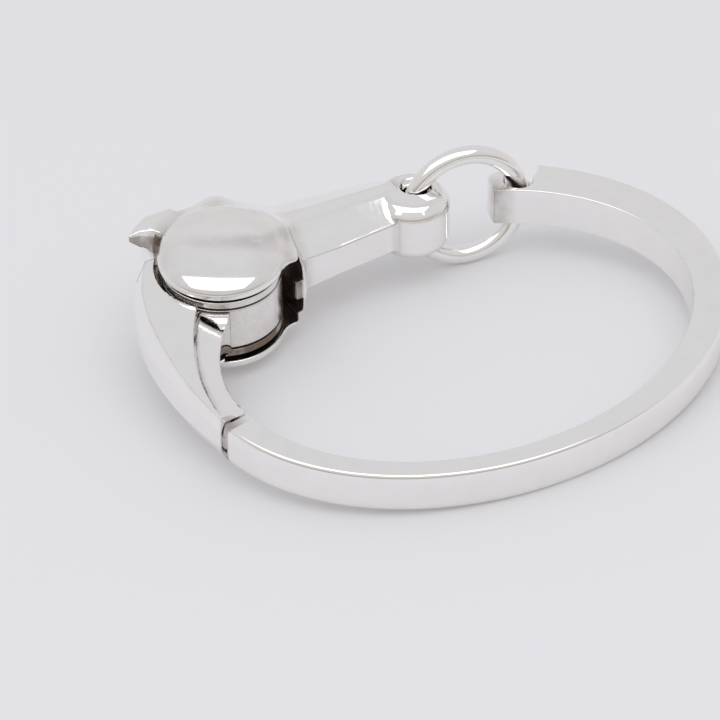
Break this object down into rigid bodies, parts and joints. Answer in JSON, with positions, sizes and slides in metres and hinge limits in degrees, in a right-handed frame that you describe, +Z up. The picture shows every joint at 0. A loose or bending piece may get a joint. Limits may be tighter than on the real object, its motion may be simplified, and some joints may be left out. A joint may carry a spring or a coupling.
{
  "type": "bangle bracelet",
  "caption": "Oval bangle of tapering square bar whose hinged neck, round drum, hollow horse-head clasp and link ring close the loop.",
  "frame": {"origin": "middle of the bounding box in plan, on the table the bangle rests on", "axes": "+X along the long axis of the oval towards the ring end of the bar, +Y towards the horse head, +Z up from the table; the flat of the bangle leans back about X because it rests on the ring and on the front of the bar"},
  "size_m": [0.0716, 0.0614, 0.0173],
  "materials": {
    "polished_silver": "mirror-polished sterling silver",
    "satin_silver": "fine satin sterling silver",
    "plate_silver": "semi-bright rolled silver sheet",
    "steel_pin": "drawn pin wire"
  },
  "bodies": {
    "band": {"band_bar": "polished_silver", "hinge_pin": "steel_pin"},
    "neck": {"neck_arm": "polished_silver", "clasp_drum": "satin_silver", "spring_plate_upper": "plate_silver", "spring_plate_lower": "plate_silver", "drum_rivet": "polished_silver"},
    "ring": {"link_ring": "polished_silver"},
    "head": {"head_body": "polished_silver"}
  },
  "joints": [
    {"name": "ring_swing", "type": "hinge", "parent": "band", "child": "ring", "pos_m": [0.0213, 0.01586, 0.00845], "axis": [0, 0.1242, -0.9923], "range_deg": [0, 35]},
    {"name": "head_swing", "type": "hinge", "parent": "ring", "child": "head", "pos_m": [0.00764, 0.01899, 0.00885], "axis": [0, 0.1242, -0.9923], "range_deg": [0, 60]},
    {"name": "neck_hinge", "type": "hinge", "parent": "band", "child": "neck", "pos_m": [-0.03342, -0.00621, 0.00569], "axis": [0, -0.1242, 0.9923], "range_deg": [0, 20]}
  ],
  "couplings": [
    {"joint": "neck_hinge", "follows": "head_swing", "ratio": 0.3333}
  ]
}
